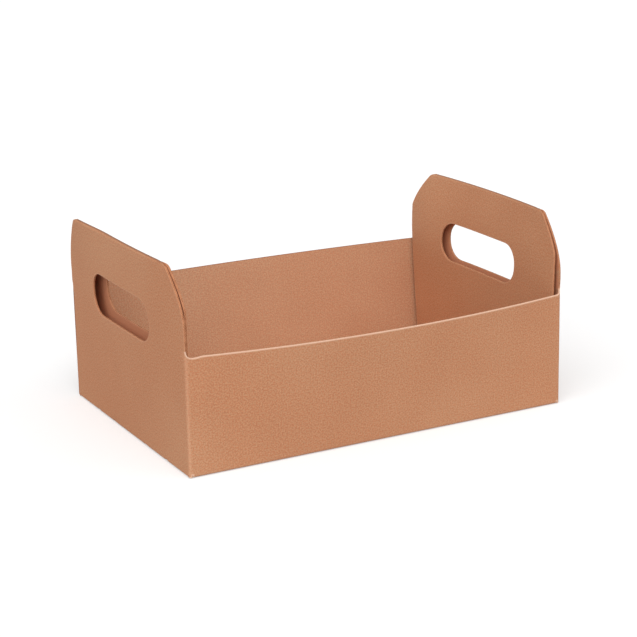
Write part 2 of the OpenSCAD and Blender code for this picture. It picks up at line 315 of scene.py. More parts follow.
class Nodes:
    """A node tree that is filled by calls"""

    def __init__(self, tree):
        tree.nodes.clear()
        self.tree = tree

    def node(self, kind, settings=None, values=None, output=0):
        made = self.tree.nodes.new(kind)
        for name, setting in (settings or {}).items():
            setattr(made, name, setting)
        for key, value in (values or {}).items():
            if isinstance(value, Value):
                self.tree.links.new(value.socket, made.inputs[key])
            else:
                made.inputs[key].default_value = value
        return Value(self, made.outputs[output]) if made.outputs else made

    def math(self, operation, *values):
        return self.node("ShaderNodeMath", {"operation": operation}, dict(enumerate(values)))

    def parts(self, vector):
        made = self.node("ShaderNodeSeparateXYZ", {}, {0: vector})
        return [Value(self, out) for out in made.socket.node.outputs]

    def point(self, x, y, z):
        return self.node("ShaderNodeCombineXYZ", {}, {0: x, 1: y, 2: z})

    def mixed(self, factor, a, b, how="MIX"):
        """Mix of two colours"""
        return self.node("ShaderNodeMix", {"data_type": "RGBA", "blend_type": how},
                         {0: factor, 6: a, 7: b}, output=2)

    def times(self, colour, factor):
        """A colour multiplied by another one"""
        return self.mixed(1.0, colour, factor, "MULTIPLY")

    def noise(self, vector, scale=1.0, detail=2.0, rough=0.5):
        return self.node("ShaderNodeTexNoise", {},
                         {"Vector": vector, "Scale": scale, "Detail": detail, "Roughness": rough})

    def attribute(self, name):
        """A number that the mesh holds at its points"""
        return self.node("ShaderNodeAttribute", {"attribute_name": name}, output=2)

    def seen_directly(self):
        """1 for light that goes to the camera, also by way of a mirror or a clear pane"""
        rays = self.node("ShaderNodeLightPath").socket.node.outputs
        seen = Value(self, rays["Is Camera Ray"])
        for kind in ("Is Glossy Ray", "Is Transmission Ray"):
            seen = seen.at_least(Value(self, rays[kind]))
        return seen

    def matt_surface(self, base, rough, shine, relief):
        """Ends a material with a matt surface; relief is its lift, strength and height"""
        lift, strength, height = relief
        bump = self.node("ShaderNodeBump", {}, {"Strength": strength, "Distance": height, "Height": lift})
        shader = self.node("ShaderNodeBsdfPrincipled", {}, {
            "Base Color": base, "Roughness": rough, "Specular IOR Level": shine, "Normal": bump})
        self.node("ShaderNodeOutputMaterial", {}, {0: shader})


def bare_material(name):
    """A new material, and its node tree to be filled"""
    material = bpy.data.materials.new(name)
    material.use_nodes = True
    return material, Nodes(material.node_tree)


class Blank:
    """The flat sheet: its sizes, its die-cut outline, and where each of its points goes when it is folded.

    A point has s, its place along the belt of walls, and t, its height up the wall. The sheet runs on
    below the bottom folds as the base flaps and above the top folds as the inner end panels.
    """

    def __init__(self, scene):
        self.walls, self.ends = scene.tray_walls, scene.tray_ends
        self.cuts, self.board = scene.tray_cuts, scene.board_finish
        self.thick = self.board.thickness
        self.half_length, self.half_width = self.walls.tray_length / 2, self.walls.tray_width / 2
        self.round, self.foot = self.walls.corner_radius, self.walls.foot_radius
        self.arc = self.round * QUARTER
        self.corner_x, self.corner_y = self.half_length - self.round, self.half_width - self.round
        self.place_walls()
        self.place_ends()

    def place_walls(self):
        """Places of the walls along the sheet, and how they lie once folded"""
        ends, cuts = self.ends, self.cuts
        lap_y = self.half_width - self.thick - GLUE_GAP
        self.lap_corner = lap_y - self.round
        self.lap = -self.arc - (cuts.lap_width + self.thick - self.round)
        self.left_end = self.lap_corner + self.corner_y
        self.front = self.left_end + self.arc
        self.front_end = self.front + 2 * self.corner_x
        self.right = self.front_end + self.arc
        self.right_end = self.right + 2 * self.corner_y
        self.back = self.right_end + self.arc
        self.back_end = self.back + 2 * self.corner_x
        self.seam = self.back_end + self.round - ends.edge_inset
        self.left_middle, self.right_middle = self.lap_corner, self.right + self.corner_y
        self.front_middle, self.back_middle = self.front + self.corner_x, self.back + self.corner_x

        straight = [(self.lap, -self.arc), (0, self.left_end), (self.front, self.front_end),
                    (self.right, self.right_end), (self.back, self.seam)]
        self.flap_runs = straight[1:4] + [(self.back, self.back_end)]
        self.corner_folds = [(-self.arc, 0), (self.left_end, self.front),
                             (self.front_end, self.right), (self.right_end, self.back)]
        lay = [(-self.corner_x - (self.lap + self.arc), lap_y, math.pi),
               (-self.half_length, self.lap_corner, LEFT_TURN),
               (-self.corner_x, -self.half_width, 2 * math.pi),
               (self.half_length, -self.corner_y, RIGHT_TURN),
               (self.corner_x, self.half_width, 3 * math.pi)]
        self.runs = [(low, high) + where for (low, high), where in zip(straight, lay)]

    def place_ends(self):
        """Heights and widths of the end panels and of what hangs from their top folds"""
        walls, ends, cuts = self.walls, self.ends, self.cuts
        self.fold_round = self.thick + ends.fold_gap / 2
        self.fold_z = ends.end_height - self.fold_round
        self.fold_end = self.fold_z + math.pi * self.fold_round
        self.inner_foot, self.tab_foot = 2 * self.thick + BASE_GAP, BASE_GAP
        self.tab_in = self.thick + ends.fold_gap + ends.foot_gap
        self.panel_half = self.half_width - ends.edge_inset
        self.inner_half = self.half_width - 2 * self.thick - ends.side_gap
        self.shoulder_z = ends.end_height - ends.shoulder_radius
        self.shoulder_end = self.shoulder_z + ends.shoulder_radius * math.sin(ends.shoulder_angle)
        self.shoulder_rise = self.shoulder_end - ends.shoulder_start
        self.shoulder_cut = math.tan(ends.shoulder_angle) * self.shoulder_rise / ends.shoulder_curve
        rounded = ends.shoulder_radius * math.cos(ends.shoulder_angle)
        self.shoulder_y = self.panel_half - self.shoulder_cut - rounded
        self.wall_top = walls.wall_height + walls.corner_fillet
        self.lap_top = walls.wall_height - walls.wall_dip - cuts.lap_drop
        self.cut_past = self.panel_half - self.corner_y

    def panel_width(self, z):
        """Half the width of an end panel at a height"""
        ends = self.ends
        risen = np.clip((z - ends.shoulder_start) / self.shoulder_rise, 0, 1)
        slope = self.panel_half - self.shoulder_cut * risen ** ends.shoulder_curve
        above = z - self.shoulder_z
        curve = self.shoulder_y + np.sqrt(np.maximum(0, ends.shoulder_radius ** 2 - above ** 2))
        return np.where(z <= self.shoulder_end, slope, curve)

    def stand_off(self, s, z):
        """How far an inner panel stands off the outer one, beyond the fold gap"""
        ends, left = self.ends, s < self.front
        rise = np.clip((z - self.inner_foot) / (self.fold_z - self.inner_foot), 0, 1)
        across = np.abs(s - np.where(left, self.left_middle, self.right_middle))
        across = np.minimum(1, across / np.minimum(self.panel_width(z), self.inner_half))
        middle = np.where(left, ends.left_belly, ends.right_belly)
        side = np.where(left, ends.left_side_belly, ends.right_side_belly)
        belly = middle + (side - middle) * across ** ends.belly_flatness
        return belly * np.sin(math.pi * rise ** ends.belly_rise) + ends.foot_gap * (1 - rise)

    def over_fold(self, z):
        """Place on the sheet of a height on an inner end panel"""
        return self.fold_end + self.fold_z - z

    def under_foot(self, inwards):
        """Place on the sheet of a point of a base flap, by its distance in from the wall's face"""
        return 2 * self.foot - self.foot * QUARTER - inwards

    def belt(self, s):
        """Points and headings of the outer face of the walls, seen from above"""
        point, heading = np.zeros((len(s), 2)), np.zeros(len(s))
        for k, (low, high, x, y, turned) in enumerate(self.runs):
            here = s >= low if k else np.full(len(s), True)
            ahead = np.array([math.cos(turned), math.sin(turned)])
            point[here] = np.array([x, y]) + (s[here] - low)[:, None] * ahead
            heading[here] = turned
            bent = here & (s > high) & (k < len(self.runs) - 1)
            centre = np.array([x, y]) + (high - low) * ahead - self.round * np.array([ahead[1], -ahead[0]])
            turn = turned + (s[bent] - high) / self.round
            point[bent] = centre + self.round * np.stack([np.sin(turn), -np.cos(turn)], 1)
            heading[bent] = turn
        return point, heading

    def lie_flat(self, s, t, point, heading):
        """Above the long walls and the glue lap, an end's side strips leave the corner folds and lie flat"""
        for edge, side, y, turned, level, run in (
            (0, -1, self.lap_corner, LEFT_TURN, self.lap_top, LAP_RELEASE),
            (self.left_end, 1, -self.corner_y, LEFT_TURN, self.wall_top, WALL_RELEASE),
            (self.right, -1, -self.corner_y, RIGHT_TURN, self.wall_top, WALL_RELEASE),
            (self.right_end, 1, self.corner_y, RIGHT_TURN, self.wall_top, WALL_RELEASE),
        ):
            past = side * (s - edge)
            here = (past > 0) & (past < self.arc) & (t > level)
            bend = np.maximum(1 - smooth((t[here] - level) / run), 1e-4) / self.round
            turn = bend * past[here]
            ahead = side * np.array([math.cos(turned), math.sin(turned)])
            out = np.array([math.sin(turned), -math.cos(turned)])
            base = np.array([self.half_length * out[0], y])
            forward, sunk = np.sin(turn) / bend, (1 - np.cos(turn)) / bend
            point[here] = base + forward[:, None] * ahead - sunk[:, None] * out
            heading[here] = turned + side * turn

    def fold(self, s, t, depth):
        """Places of points of the sheet, at a depth below its outer face, once it is folded"""
        point, heading = self.belt(s)
        self.lie_flat(s, t, point, heading)
        out = np.stack([np.sin(heading), -np.cos(heading), np.zeros(len(s))], 1)
        face = np.concatenate([point, np.zeros((len(s), 1))], 1)
        placed = face - depth[:, None] * out + t[:, None] * UP
        self.turn_flaps(s, t, depth, face, out, placed)
        self.turn_inner_panels(s, t, depth, face, out, placed)
        return placed

    def turn_flaps(self, s, t, depth, face, out, placed):
        """The base flaps turn in under the walls, and the short ones step up onto the long ones"""
        here = np.zeros(len(s), bool)
        for low, high in self.flap_runs:
            here |= (s > low + SLIT / 2) & (s < high - SLIT / 2)
        here &= t < self.foot
        s, t, depth, face, out = s[here], t[here], depth[here], face[here], out[here]
        turn = np.clip((self.foot - t) / self.foot, 0, QUARTER)
        inwards = self.foot * (1 - np.cos(turn)) + np.maximum(self.foot - t - self.foot * QUARTER, 0)
        normal = np.cos(turn)[:, None] * out - np.sin(turn)[:, None] * UP
        short = (s < self.left_end) | ((s > self.right) & (s < self.right_end))
        stepped = smooth((inwards - self.thick - self.ends.foot_gap) / self.cuts.step_run)
        height = self.foot * (1 - np.sin(turn)) + np.where(short, stepped * (self.thick + FLAP_GAP), 0)
        placed[here] = face - inwards[:, None] * out + height[:, None] * UP - depth[:, None] * normal

    def turn_inner_panels(self, s, t, depth, face, out, placed):
        """The inner end panels turn over the top folds and hang down with a belly"""
        here = t > self.fold_z
        s, t, depth, face, out = s[here], t[here], depth[here], face[here], out[here]
        turn = np.clip((t - self.fold_z) / self.fold_round, 0, math.pi)
        down = t > self.fold_end
        over = self.fold_round - depth
        z = np.where(down, self.fold_z + self.fold_end - t, self.fold_z + over * np.sin(turn))
        hung = 2 * self.thick + self.ends.fold_gap + self.stand_off(s, z) - depth
        inwards = np.where(down, hung, self.fold_round - over * np.cos(turn))
        placed[here] = face - inwards[:, None] * out + z[:, None] * UP

    def crease(self, s, t):
        """1 along the middle of a fold, rubbed pale with a painted highlight, 0 away from the folds, and -1
        along the top folds, which get a painted dark line of shade
        """
        wear_and_light = np.zeros(len(s))
        for low, high in self.corner_folds:
            near = 1 - np.abs(s - (low + high) / 2) / (CREASE_SPREAD * self.arc)
            wear_and_light = np.maximum(wear_and_light, near * (t < self.wall_top))
        low, high = self.foot - self.foot * QUARTER, self.foot
        wear_and_light = np.maximum(wear_and_light, 1 - np.abs(t - (low + high) / 2) / (CREASE_SPREAD * (high - low)))
        # Painted shade: a dark line along the middle of each top fold
        top_fold_shade = 1 - np.abs(t - (self.fold_z + self.fold_end) / 2) / (0.5 * (self.fold_end - self.fold_z))
        return smooth(wear_and_light) - smooth(top_fold_shade) ** 2

    def rim_wear_and_light(self, loop):
        """Wear and painted light of the outer outline: 1 along the front wall's rim, rubbed pale with a
        painted highlight, -1 along the back wall's rim, a painted dark line of shade
        """
        s, t = loop.T
        on_front = (t < self.wall_top) & (s > self.left_end) & (s < self.right)
        on_back = (t < self.wall_top) & (t > self.walls.wall_height / 2) & (s > self.back)
        return np.where(on_front, 1.0, np.where(on_back, -1.0, 0.25))

    def between_layers(self, s, t, depth):
        """1 on the sheet's inner side where the two layers of an end hide it, which the liner darkens with
        painted shade
        """
        in_end = ((s < self.left_end) & (s > 0)) | ((s > self.right) & (s < self.right_end))
        hidden = in_end & (depth > 0.9 * self.thick) & (t > self.walls.wall_height / 2)
        return hidden.astype(float)

    def flap(self, start, end, corners):
        """A base flap between the narrow slits that free it from the corners"""
        lip, notch = 0.00015, self.foot + 0.0003
        opened = [(start + lip, CORNER_FOOT, 0), (start + lip, notch, 0), (start + SLIT, notch, 0)]
        closed = [(end - SLIT, notch, 0), (end - lip, notch, 0), (end - lip, CORNER_FOOT, 0)]
        return opened + corners + closed

    def short_flap(self, start, end):
        step = self.under_foot(self.thick + self.ends.foot_gap + self.cuts.step_run)
        free = self.under_foot(self.thick + self.cuts.short_flap)
        taper, rounding = self.cuts.short_taper, 0.004
        return self.flap(start, end, [
            (start + SLIT, step, rounding), (start + taper, free, rounding),
            (end - taper, free, rounding), (end - SLIT, step, rounding)])

    def long_flap(self, middle):
        """A long base flap, with one half that hooks past the middle of the base"""
        cuts = self.cuts
        root_round, bevel_round, tip_round, hook_round = 0.001, 0.005, 0.004, 0.003
        near = self.half_length - self.thick - cuts.flap_bevel
        bevel = self.under_foot(self.round + cuts.flap_bevel)
        back = self.under_foot(self.half_width - BASE_GAP - cuts.hook_reach)
        far = self.under_foot(self.half_width - BASE_GAP + cuts.hook_reach)
        edge, side = self.under_foot(self.foot + 0.0012), self.corner_x - SLIT
        return self.flap(middle - self.corner_x, middle + self.corner_x, [
            (middle - side, edge, root_round), (middle - near, bevel, bevel_round),
            (middle - near, back, tip_round), (middle - cuts.hook_run, back, hook_round),
            (middle + cuts.hook_run, far, hook_round), (middle + near, far, tip_round),
            (middle + near, bevel, bevel_round), (middle + side, edge, root_round)])

    def wall_edge(self, middle, start, end, dip):
        """The hollow top edge of a long wall, with a dip at its left end"""
        walls = self.walls
        fillet_x = self.half_length - self.ends.edge_inset - walls.corner_fillet
        near, inner = np.linspace(0, 0.013, 18), 0.016
        x = np.concatenate([start - near, np.linspace(start - inner, end + inner, 37), (end + near)[::-1]])
        dipped = np.clip((fillet_x + x) / walls.dip_length, 0, 1)
        level = walls.wall_height - walls.wall_dip * (1 - np.minimum(1, (x / fillet_x) ** 2))
        level -= dip * (1 + np.cos(math.pi * dipped)) / 2
        return [(middle + u, z, 0) for u, z in zip(x, level)]

    def end_side(self, middle, side):
        """Up one side of an end, over its top fold and down to the middle of its inner panel's foot"""
        ends, cuts = self.ends, self.cuts
        side_round, foot_round, root_round, tab_round = 0.006, 0.002, 0.0008, 0.0012
        lift = np.concatenate([np.linspace(ends.shoulder_start, self.shoulder_end, 14),
                               np.linspace(self.shoulder_end, self.fold_z, 3)[1:]])
        spare = (self.panel_half - self.inner_half) / self.shoulder_cut
        start = ends.shoulder_start + self.shoulder_rise * spare ** (1 / ends.shoulder_curve)
        foot, tip = self.over_fold(self.inner_foot), self.over_fold(self.tab_foot)
        near, far = (cuts.tab_spacing - cuts.tab_length) / 2, (cuts.tab_spacing + cuts.tab_length) / 2
        way = [(self.panel_half, self.wall_top + 0.002, 0)]
        way += [(self.panel_width(z), z, 0) for z in lift]
        for turn in np.linspace(0, math.pi, 17)[1:-1]:
            width = self.panel_width(self.fold_z + self.fold_round * math.sin(turn))
            way.append((width, self.fold_z + self.fold_round * turn, 0))
        way += [(self.panel_width(z), self.over_fold(z), 0) for z in lift[::-1] if z > start + 0.001]
        way += [(self.inner_half, self.over_fold(start), side_round),
                (self.inner_half - ends.foot_taper, foot, foot_round),
                (far, foot, root_round), (far, tip, tab_round),
                (near, tip, tab_round), (near, foot, root_round)]
        return [(middle + side * u, t, r) for u, t, r in way[::side]]

    def outline(self):
        """Corners of the outer outline with the board on their left: s, t and radius"""
        walls, lap, bevel_run, bevel_rise = self.walls, self.lap, 0.008, 0.010
        lap_low, lap_round, nick = 0.0021, 0.002, 0.0004
        seam_round, back_round, notch_width = 0.0003, 0.0012, 0.0020
        past = self.corner_x - self.cut_past - walls.corner_fillet - 0.001
        front_dip, front_round = walls.corner_dip, walls.corner_fillet + walls.corner_dip
        corners = [(lap, bevel_rise, lap_round), (lap + bevel_run, lap_low, lap_round),
                   (-self.arc - nick, lap_low, nick), (-self.arc + 2 * nick, CORNER_FOOT, nick)]
        corners += self.short_flap(0, self.left_end) + self.long_flap(self.front_middle)
        corners += self.short_flap(self.right, self.right_end) + self.long_flap(self.back_middle)
        corners += [(self.seam, CORNER_FOOT, seam_round), (self.seam, walls.wall_height, back_round)]
        corners += self.wall_edge(self.back_middle, self.corner_x - 0.003, -past, 0)
        corners += [(self.right_end + self.cut_past, walls.wall_height, walls.corner_fillet)]
        corners += self.end_side(self.right_middle, 1) + self.end_side(self.right_middle, -1)
        corners += [(self.right - self.cut_past, walls.wall_height, walls.corner_fillet)]
        corners += self.wall_edge(self.front_middle, past, -past, front_dip)
        corners += [(self.left_end + self.cut_past, walls.wall_height - front_dip, front_round)]
        corners += self.end_side(self.left_middle, 1) + self.end_side(self.left_middle, -1)
        corners += [(-notch_width, self.wall_top - 0.001, 0.001), (-notch_width, self.lap_top, 0.0015),
                    (lap + bevel_run, self.lap_top, lap_round), (lap, self.lap_top - bevel_rise, lap_round)]
        return corners

    def holes(self):
        """Corners of the hand slots and of the slots for the lock tabs"""
        cuts, half = self.cuts, self.cuts.slot_length / 2
        low, high = cuts.slot_centre - cuts.slot_height / 2, cuts.slot_centre + cuts.slot_height / 2
        tab_half = cuts.tab_length / 2 + cuts.tab_gap
        tab_low = self.under_foot(self.tab_in + self.thick + cuts.tab_gap)
        tab_high = self.under_foot(self.tab_in - cuts.tab_gap)
        shapes = []
        for middle, shift, rise, advance in (
            (self.left_middle, -cuts.slot_shift, cuts.slot_rise, cuts.slot_advance),
            (self.right_middle, cuts.slot_shift, 0, 0),
        ):
            inner_low, inner_high = self.over_fold(high + rise), self.over_fold(low + rise)
            shapes.append((middle + shift, half, low, high, cuts.slot_radius))
            shapes.append((middle + shift + advance, half, inner_low, inner_high, cuts.slot_radius))
            for side in (-1, 1):
                shapes.append((middle + side * cuts.tab_spacing / 2, tab_half, tab_low, tab_high, 0.0004))
        return [[(x - half, low, r), (x - half, high, r), (x + half, high, r), (x + half, low, r)]
                for x, half, low, high, r in shapes]

    def lines(self):
        """Places along and up the sheet where the mesh has points: close across the folds, wide elsewhere"""
        def steps(low, high):
            return list(np.linspace(low, high, math.ceil((high - low) / self.board.mesh_step) + 1))

        along, up = [], []
        for low, high in [run[:2] for run in self.runs]:
            along += steps(low, high) + [low + GUARD, high - GUARD]
        for low, high in self.corner_folds:
            along += list(np.linspace(low, high, 7)[1:-1])
        cuts, foot, released = self.cuts, self.foot - self.foot * QUARTER, self.wall_top + WALL_RELEASE
        step_start = self.thick + self.ends.foot_gap
        stepped = [self.under_foot(step_start + cuts.step_run * k / 7) for k in range(8)]
        up += steps(self.under_foot(self.half_width + cuts.hook_reach), stepped[-1]) + stepped[:-1]
        up += [foot - GUARD] + list(np.linspace(foot, self.foot, 7)) + [self.foot + GUARD]
        up += steps(self.foot, self.wall_top)[1:] + list(np.linspace(self.wall_top, released, 7)[1:])
        up += steps(released, self.fold_z)[1:] + [self.fold_z - GUARD]
        up += list(np.linspace(self.fold_z, self.fold_end, 15)[1:]) + [self.fold_end + GUARD]
        up += steps(self.fold_end, self.over_fold(self.tab_foot))[1:]
        return np.unique(np.round(along, 7)), np.unique(np.round(up, 7))


def with_arcs(corners):
    """The outline's corners rounded to their radii"""
    points = []
    for k, (s, t, radius) in enumerate(corners):
        here = np.array([s, t])
        if not radius:
            points.append(here)
            continue
        back, ahead = (np.array(corners[(k + way) % len(corners)][:2]) - here for way in (-1, 1))
        reach = min(np.linalg.norm(back), np.linalg.norm(ahead))
        back, ahead = back / np.linalg.norm(back), ahead / np.linalg.norm(ahead)
        opening = math.acos(np.clip(back @ ahead, -1, 1))
        if opening > math.radians(179):
            points.append(here)
            continue
        radius = min(radius, 0.98 * reach * math.tan(opening / 2))
        middle = (back + ahead) / np.linalg.norm(back + ahead)
        centre = here + middle * radius / math.sin(opening / 2)
        first = here + back * radius / math.tan(opening / 2) - centre
        turn = math.pi - opening
        turn = -turn if back[0] * ahead[1] - back[1] * ahead[0] > 0 else turn
        for a in np.linspace(0, turn, max(3, math.ceil(abs(turn) / math.radians(11)) + 1)):
            points.append(centre + np.array([math.cos(a) * first[0] - math.sin(a) * first[1],
                                             math.sin(a) * first[0] + math.cos(a) * first[1]]))
    return np.array(points)


def with_crossings(loop, lines):
    """The outline with a further point wherever it crosses a line of the mesh"""
    points = []
    for here, ahead in zip(loop, np.roll(loop, -1, 0)):
        span = np.linalg.norm(ahead - here)
        if span < 1e-6:
            continue
        points.append(here)
        cuts = []
        for axis in (0, 1):
            run = ahead[axis] - here[axis]
            if abs(run) > 1e-6:
                cuts += [(line - here[axis]) / run for line in lines[axis]]
        last = 0
        for cut in sorted(c for c in cuts if 0 < c < 1):
            if (cut - last) * span > NEAREST / 2 and (1 - cut) * span > NEAREST / 2:
                points.append(here + cut * (ahead - here))
                last = cut
    return np.array(points)


def drawn_in(loop, distance):
    """The outline moved into the board by a distance"""
    ahead = np.roll(loop, -1, 0) - loop
    ahead /= np.linalg.norm(ahead, axis=1)[:, None]
    inward = np.stack([-ahead[:, 1], ahead[:, 0]], 1)
    before = np.roll(inward, 1, 0)
    both = inward + before
    return loop + distance * both / np.maximum((both * both).sum(1) / 2, 0.35)[:, None]


def inside(points, loops):
    """Which points lie inside the outline and outside its holes"""
    found = np.zeros(len(points), bool)
    for loop in loops:
        x0, y0 = loop.T
        x1, y1 = np.roll(loop, -1, 0).T
        for start in range(0, len(points), 2000):
            x, y = points[start:start + 2000].T[:, :, None]
            crossed = (y0 <= y) != (y1 <= y)
            with np.errstate(divide="ignore", invalid="ignore"):
                at = x0 + (y - y0) * (x1 - x0) / (y1 - y0)
            found[start:start + 2000] ^= (crossed & (x < at)).sum(1) % 2 == 1
    return found


def clear_of(points, loops, distance):
    """Which points keep a distance from every edge of the outline"""
    a = np.concatenate(loops)
    b = np.concatenate([np.roll(loop, -1, 0) for loop in loops])
    run, square = b - a, ((b - a) ** 2).sum(1)
    kept = []
    for start in range(0, len(points), 1000):
        way = points[start:start + 1000, None] - a
        along = np.clip((way * run).sum(2) / square, 0, 1)
        kept.append((((way - along[:, :, None] * run) ** 2).sum(2) > distance ** 2).all(1))
    return np.concatenate(kept)


def cut_sheet(board, loops, lines):
    """Points and triangles of the sheet's flat face, and which points lie along each outline"""
    face_loops = [drawn_in(loop, board.edge_round) for loop in loops]
    band = np.concatenate([drawn_in(loop, board.rim) for loop in loops])
    band = band[inside(band, face_loops)]
    band = band[clear_of(band, loops, 0.9 * board.rim)]
    grid = np.stack(np.meshgrid(*lines), 2).reshape(-1, 2)
    grid = grid[inside(grid, face_loops)]
    grid = grid[clear_of(grid, loops, board.rim + NEAREST)]
    flat = np.concatenate(face_loops + [band, grid])
    edges, first = [], 0
    for loop in loops:
        edges += [(first + k, first + (k + 1) % len(loop)) for k in range(len(loop))]
        first += len(loop)
    cut = delaunay_2d_cdt([Vector(p * 1000) for p in flat], edges, [], 0, 1e-6)
    triangles, origins = np.array([tuple(f) for f in cut[2]]), cut[3]
    if any(len(o) != 1 for o in origins):
        raise RuntimeError("the sheet's outline crosses itself, so it can't be meshed")
    places = np.array([flat[o[0]] for o in origins])
    triangles = triangles[inside(places[triangles].mean(1), face_loops)]
    a, b, c = places[triangles].transpose(1, 0, 2)
    over = (b - a)[:, 0] * (c - a)[:, 1] - (b - a)[:, 1] * (c - a)[:, 0] < 0
    triangles[over] = triangles[over][:, ::-1]
    found = {o[0]: k for k, o in enumerate(origins)}
    along = [found[k] for k in range(first)]
    return places, triangles, np.split(np.array(along), np.cumsum([len(loop) for loop in loops])[:-1])


def folded_mesh(blank):
    """Mesh of the folded sheet: both liners, and the rounded cut edges that join them"""
    lines = blank.lines()
    loops = [with_crossings(with_arcs(corners), lines) for corners in [blank.outline()] + blank.holes()]
    places, triangles, near_edges = cut_sheet(blank.board, loops, lines)
    thick, rounding = blank.thick, blank.board.edge_round
    count = len(places)
    s = [places[:, 0], places[:, 0]]
    t = [places[:, 1], places[:, 1]]
    depth = [np.zeros(count), np.full(count, thick)]
    faces = [tuple(f) for f in triangles] + [tuple(f[::-1] + count) for f in triangles]
    uv = [[places[k] for k in f] for f in triangles]
    uv += [[places[k] + (INNER_SHIFT, 0) for k in f[::-1]] for f in triangles]
    is_edge = [False] * len(faces)
    total, levels = 2 * count, [0, rounding, thick - rounding, thick]
    for loop, near in zip(loops, near_edges):
        n = len(loop)
        rings = [near, total + np.arange(n), total + n + np.arange(n), near + count]
        for level in levels[1:3]:
            s.append(loop[:, 0])
            t.append(loop[:, 1])
            depth.append(np.full(n, level))
        run = np.concatenate([[0], np.cumsum(np.linalg.norm(np.roll(loop, -1, 0) - loop, axis=1))])
        for ring, (low, high) in enumerate(zip(levels, levels[1:])):
            for k in range(n):
                j = (k + 1) % n
                faces.append((rings[ring][k], rings[ring + 1][k], rings[ring + 1][j], rings[ring][j]))
                uv.append([(run[k], low), (run[k], high), (run[k + 1], high), (run[k + 1], low)])
                is_edge.append(True)
        total += 2 * n
    s, t, depth = (np.concatenate(v) for v in (s, t, depth))

    mesh = bpy.data.meshes.new("folded_board")
    mesh.from_pydata([tuple(p) for p in blank.fold(s, t, depth)], [], faces)
    layer = mesh.uv_layers.new(name="sheet")
    layer.data.foreach_set("uv", np.array([p for face in uv for p in face], float).ravel())
    mark(mesh, "cut_edge", "BOOLEAN", "FACE", is_edge)
    mark(mesh, "crease", "FLOAT", "POINT", blank.crease(s, t))
    mark(mesh, "rim", "FLOAT", "POINT", rim_wear_and_light_at_points(blank, loops, near_edges, count))
    mark(mesh, "between_layers", "FLOAT", "POINT", blank.between_layers(s, t, depth))
    mark(mesh, "sharp_edge", "BOOLEAN", "EDGE", borders(mesh, is_edge))
    mesh.polygons.foreach_set("use_smooth", [True] * len(faces))
    mesh.update()
    return mesh


def mark(mesh, name, kind, domain, values):
    mesh.attributes.new(name, kind, domain).data.foreach_set("value", values)


def rim_wear_and_light_at_points(blank, loops, near_edges, count):
    """Wear and painted light at every point: along the outlines on the outer side and on the cut edges, and
    none elsewhere
    """
    slot_wear_and_light = 0.3
    wear_and_light = [blank.rim_wear_and_light(loops[0])] + [np.full(len(loop), slot_wear_and_light) for loop in loops[1:]]
    outer, inner = np.zeros(count), np.zeros(count)
    outer[np.concatenate(near_edges)] = np.concatenate(wear_and_light)
    return np.concatenate([outer, inner] + [np.tile(w, 2) for w in wear_and_light])


def borders(mesh, is_edge):
    """Which edges of the mesh lie between a liner and a cut edge"""
    touching = {}
    for polygon, edge_face in zip(mesh.polygons, is_edge):
        for key in polygon.edge_keys:
            touching.setdefault(key, set()).add(edge_face)
    return [len(touching[e.key]) == 2 for e in mesh.edges]


def kraft_liner(board, paper):
    """Brown paper: cloudy, grainy, fibrous and flecked, ribbed by the flutes with painted shade, paler on
    its inner side as painted light, worn pale with a painted highlight along its creases and rims, and with
    painted shade along its top folds and between the layers
    """
    material, n = bare_material("kraft_liner")
    sheet = n.node("ShaderNodeUVMap", {"uv_map": "sheet"})
    along, up, _ = n.parts(sheet)
    dark, pale = linear(board.fibre), linear(board.pale_wear_and_highlight)

    clouds = n.noise(sheet, paper.cloud_scale, 3, 0.55)
    drift = n.noise(n.point(along, up, 2.0), paper.drift_scale)
    grain = n.noise(sheet, paper.grain_scale, 4, 0.75)
    tint = n.noise(n.point(along + 0.5, up, 4.0), paper.tint_scale, 3, 0.7)
    lying, standing, streaks = (n.noise(n.point(along * waves_along, up * waves_up, apart))
                                for waves_along, waves_up, apart in (LYING_FIBRES, STANDING_FIBRES, STREAKS))
    flutes = (along * (2 * math.pi / board.flute_pitch)).sine()
    fibres = lying.from_to(*LYING_LIMITS) + standing.from_to(*STANDING_LIMITS)

    cell = {"Vector": sheet, "Scale": paper.fleck_scale}
    off_centre = n.node("ShaderNodeTexVoronoi", {"feature": "F1"}, cell)
    picked, spread, _ = n.parts(n.node("ShaderNodeTexVoronoi", {"feature": "F1"}, cell, output=1))
    fleck = 1 - off_centre.from_to(FLECK_CORE, FLECK_REACH + FLECK_SPREAD * spread)
    flecks = fleck * picked.from_to(*FLECK_PICK)

    # The inner side's paler brown is painted light
    base = n.mixed(along.above(INNER_SHIFT - 0.5), linear(board.liner), linear(board.inside))
    base = n.times(base, n.mixed((tint - 0.5) * paper.tint_contrast + 0.5, *GRAIN_TINTS))
    base = n.times(base, n.mixed(drift.from_to(0.3, 0.7), *DRIFT_TINTS))
    shade = 1 + paper.clouds * (clouds - 0.5) + paper.grain * (grain - 0.5)
    # The flutes add a ripple of painted shade
    shade += paper.streaks * (streaks - 0.5) + paper.rib_shade * flutes
    base = n.times(base, n.point(shade, shade, shade))
    base = n.mixed(fibres * paper.fibres, base, dark)
    base = n.mixed(flecks * paper.flecks, base, dark)

    crease, rim = n.attribute("crease"), n.attribute("rim")
    # Painted shade in the gap between the two layers of an end
    base = n.mixed(n.attribute("between_layers") * paper.gap_shade_strength, base, linear(board.gap_shade))
    # Creases turn pale: wear, and a painted highlight on the rounded folds
    base = n.mixed(crease.at_least(0.0) * paper.crease_wear_and_highlight, base, pale)
    # Painted shade: the fibres' dark brown laid along the top folds
    base = n.mixed((crease * -1).at_least(0.0) * paper.fold_shade_strength, base, dark)
    # Rims turn pale: wear, and a painted highlight
    base = n.mixed(rim.from_to(0.0, 0.8) * paper.rim_wear_and_light, base, pale)
    lift = grain * 0.35 + fibres * 0.25 + flutes * 0.10 + streaks * 0.25
    n.matt_surface(base, 0.80 + 0.12 * (grain - 0.5), 0.25, (lift, 0.25, paper.relief))
    return material


